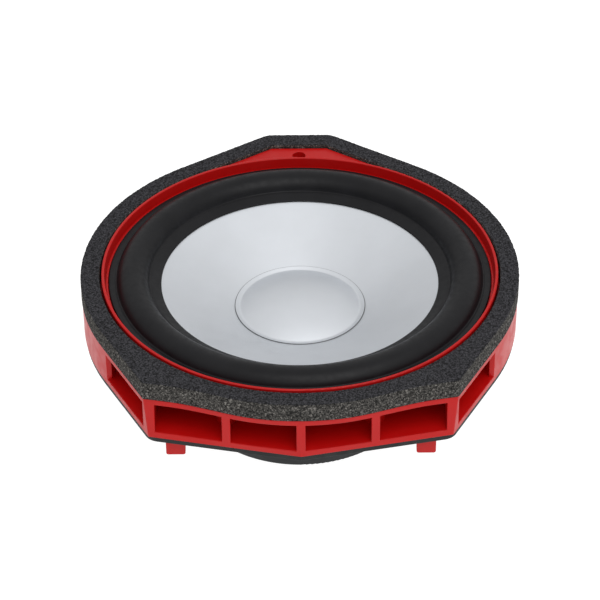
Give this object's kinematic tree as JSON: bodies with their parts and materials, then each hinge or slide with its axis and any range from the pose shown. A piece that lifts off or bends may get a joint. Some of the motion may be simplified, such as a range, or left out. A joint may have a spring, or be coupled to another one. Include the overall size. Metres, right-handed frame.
{
  "type": "car subwoofer speaker",
  "caption": "Shallow car subwoofer driver: metal cone in a rubber surround on a pressed basket and ferrite motor, held in a moulded adapter frame with foam gasket and screw ear.",
  "frame": {"origin": "on the speaker axis, in the plane of the rear seal's underside, which is the vehicle panel", "axes": "+Z out of the cone towards the listener, +Y towards the screw ear, -Y towards the pocketed front"},
  "size_m": [0.2262, 0.2396, 0.0858],
  "materials": {
    "red_plastic": "satin moulded red plastic",
    "foam": "open-cell charcoal foam",
    "seal_rubber": "smooth closed-cell black rubber",
    "basket_paint": "black powder coat",
    "plated_steel": "zinc plated",
    "ferrite": "ground sintered ferrite",
    "aluminium": "turned",
    "mesh_steel": "blackened perforated sheet",
    "boot_rubber": "smooth moulded rubber",
    "former_film": "amber polyimide film",
    "copper_wire": "enamelled winding",
    "wrap_paper": "resin-stiffened paper wrap",
    "cone_aluminium": "satin silver",
    "surround_rubber": "satin butyl rubber",
    "spider_cloth": "phenolic-impregnated woven cloth",
    "black_screw": "black oxide steel",
    "board_phenolic": "phenolic board",
    "tinned_brass": "tinned brass",
    "tinsel_copper": "braided tinsel wire"
  },
  "bodies": {
    "chassis": {"mounting_frame": "red_plastic", "front_foam_gasket": "foam", "rear_seal": "seal_rubber", "basket_gasket": "seal_rubber", "basket": "basket_paint", "top_plate": "plated_steel", "magnet": "ferrite", "t_yoke": "plated_steel", "shorting_ring": "aluminium", "vent_mesh": "mesh_steel", "magnet_boot": "boot_rubber", "surround": "surround_rubber", "spider": "spider_cloth", "tinsel_leads": "tinsel_copper", "frame_screws": "black_screw", "motor_screws": "black_screw", "terminal_board": "board_phenolic", "spade_terminals": "tinned_brass", "terminal_rivets": "tinned_brass"},
    "cone_assembly": {"cone": "cone_aluminium", "dust_cap": "cone_aluminium", "coil_former": "former_film", "voice_coil": "copper_wire", "former_wrap": "wrap_paper", "coil_leads": "copper_wire"}
  },
  "joints": [
    {"name": "cone_travel", "type": "slide", "parent": "chassis", "child": "cone_assembly", "axis": [0, 0, 1], "range_m": [-0.008, 0.008], "stiffness_N_per_m": 2200, "deforming": ["surround", "spider", "tinsel_leads"]}
  ]
}
